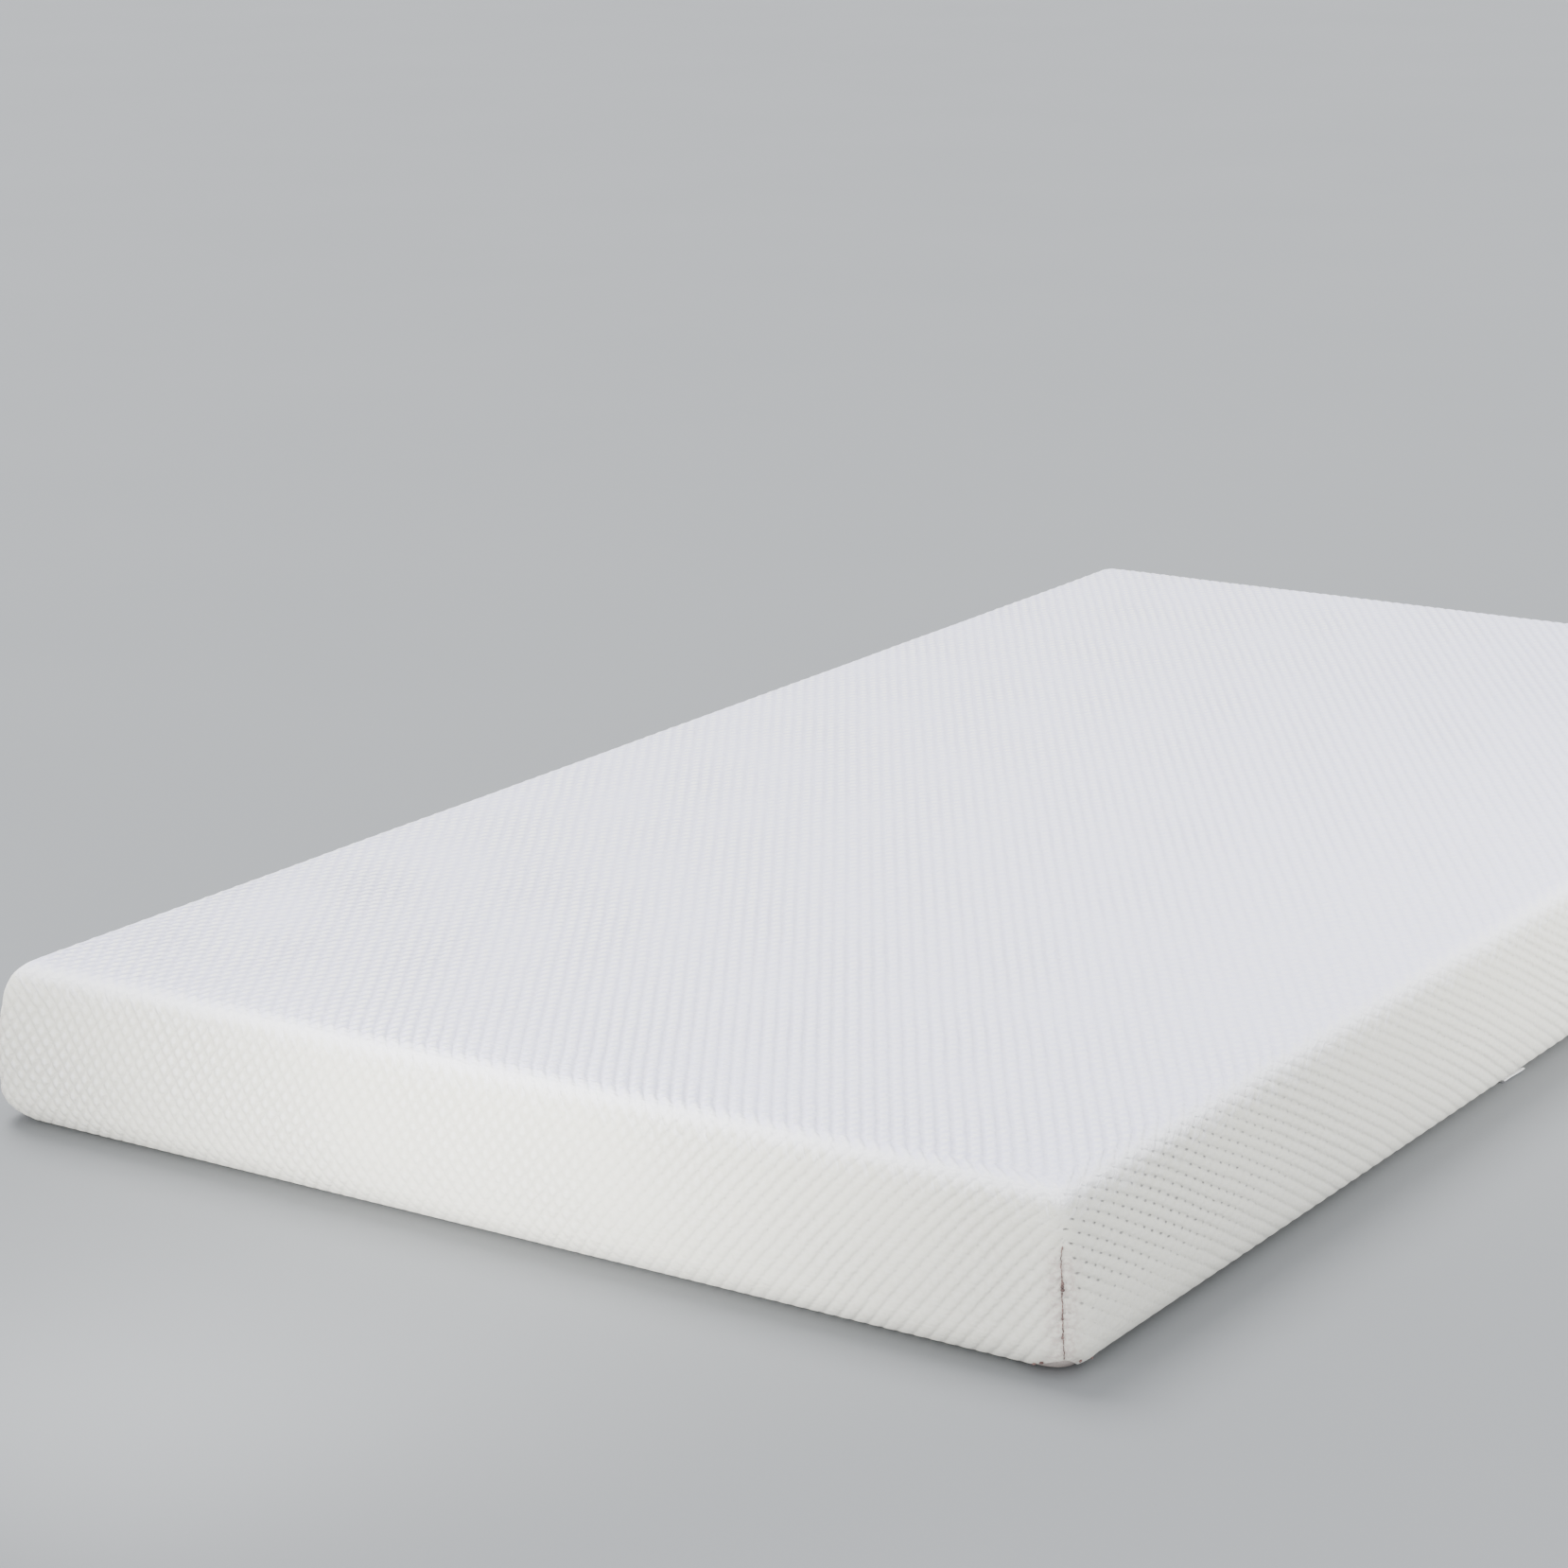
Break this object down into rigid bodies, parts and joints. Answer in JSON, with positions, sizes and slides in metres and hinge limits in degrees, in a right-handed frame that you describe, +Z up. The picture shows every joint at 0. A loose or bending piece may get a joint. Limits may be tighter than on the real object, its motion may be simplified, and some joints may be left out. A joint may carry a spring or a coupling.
{
  "type": "memory foam mattress",
  "caption": "Memory foam mattress in a diamond-textured knitted cover with soft rounded edges and a zip-off base panel.",
  "frame": {"origin": "centre of the underside, on the surface that the mattress lies on", "axes": "+X across the width, +Y along the length, +Z up out of the sleeping side"},
  "size_m": [1.07, 1.9, 0.14],
  "materials": {
    "memory_foam": "matte",
    "support_foam": "matte",
    "stockinette": "matte",
    "liner_thread": "matte",
    "cover_knit": "matte",
    "corner_thread": "matte",
    "border_cloth": "matte",
    "edge_thread": "matte",
    "base_cloth": "matte",
    "fibre_pad": "matte",
    "zip_tape": "matte",
    "zip_thread": "matte",
    "zip_nylon": "satin",
    "zip_metal": "satin",
    "label_satin": "satin"
  },
  "bodies": {
    "base": {"base_panel": "base_cloth", "base_wadding": "fibre_pad", "hinge_seam": "edge_thread", "zip_tape_base": "zip_tape", "zip_coil_base": "zip_nylon", "zip_stitching_base": "zip_thread", "zip_end_stop_near": "zip_metal", "zip_end_stop_far": "zip_metal"},
    "mattress_body": {"memory_foam_layer": "memory_foam", "support_foam_base": "support_foam", "inner_liner": "stockinette", "liner_closing_seam": "liner_thread", "knitted_cover": "cover_knit", "corner_seam_front_right": "corner_thread", "corner_seam_front_left": "corner_thread", "corner_seam_back_right": "corner_thread", "corner_seam_back_left": "corner_thread", "base_border": "border_cloth", "base_edge_seam": "edge_thread", "zip_tape_cover": "zip_tape", "zip_coil_cover": "zip_nylon", "zip_stitching_cover": "zip_thread", "care_label": "label_satin"},
    "slider": {"zip_slider": "zip_metal"},
    "pull": {"zip_pull": "zip_metal"}
  },
  "joints": [
    {"name": "base_hinge", "type": "hinge", "parent": "base", "child": "mattress_body", "pos_m": [-0.52496, 0, 0.01047], "axis": [0, -1, 0], "range_deg": [0, 90]},
    {"name": "zip_travel", "type": "slide", "parent": "base", "child": "slider", "axis": [1, 0, 0], "range_m": [0, 0.9]},
    {"name": "pull_swing", "type": "hinge", "parent": "slider", "child": "pull", "pos_m": [-0.4685, -0.895, 0.00135], "axis": [0, -1, 0], "range_deg": [0, 180]}
  ]
}
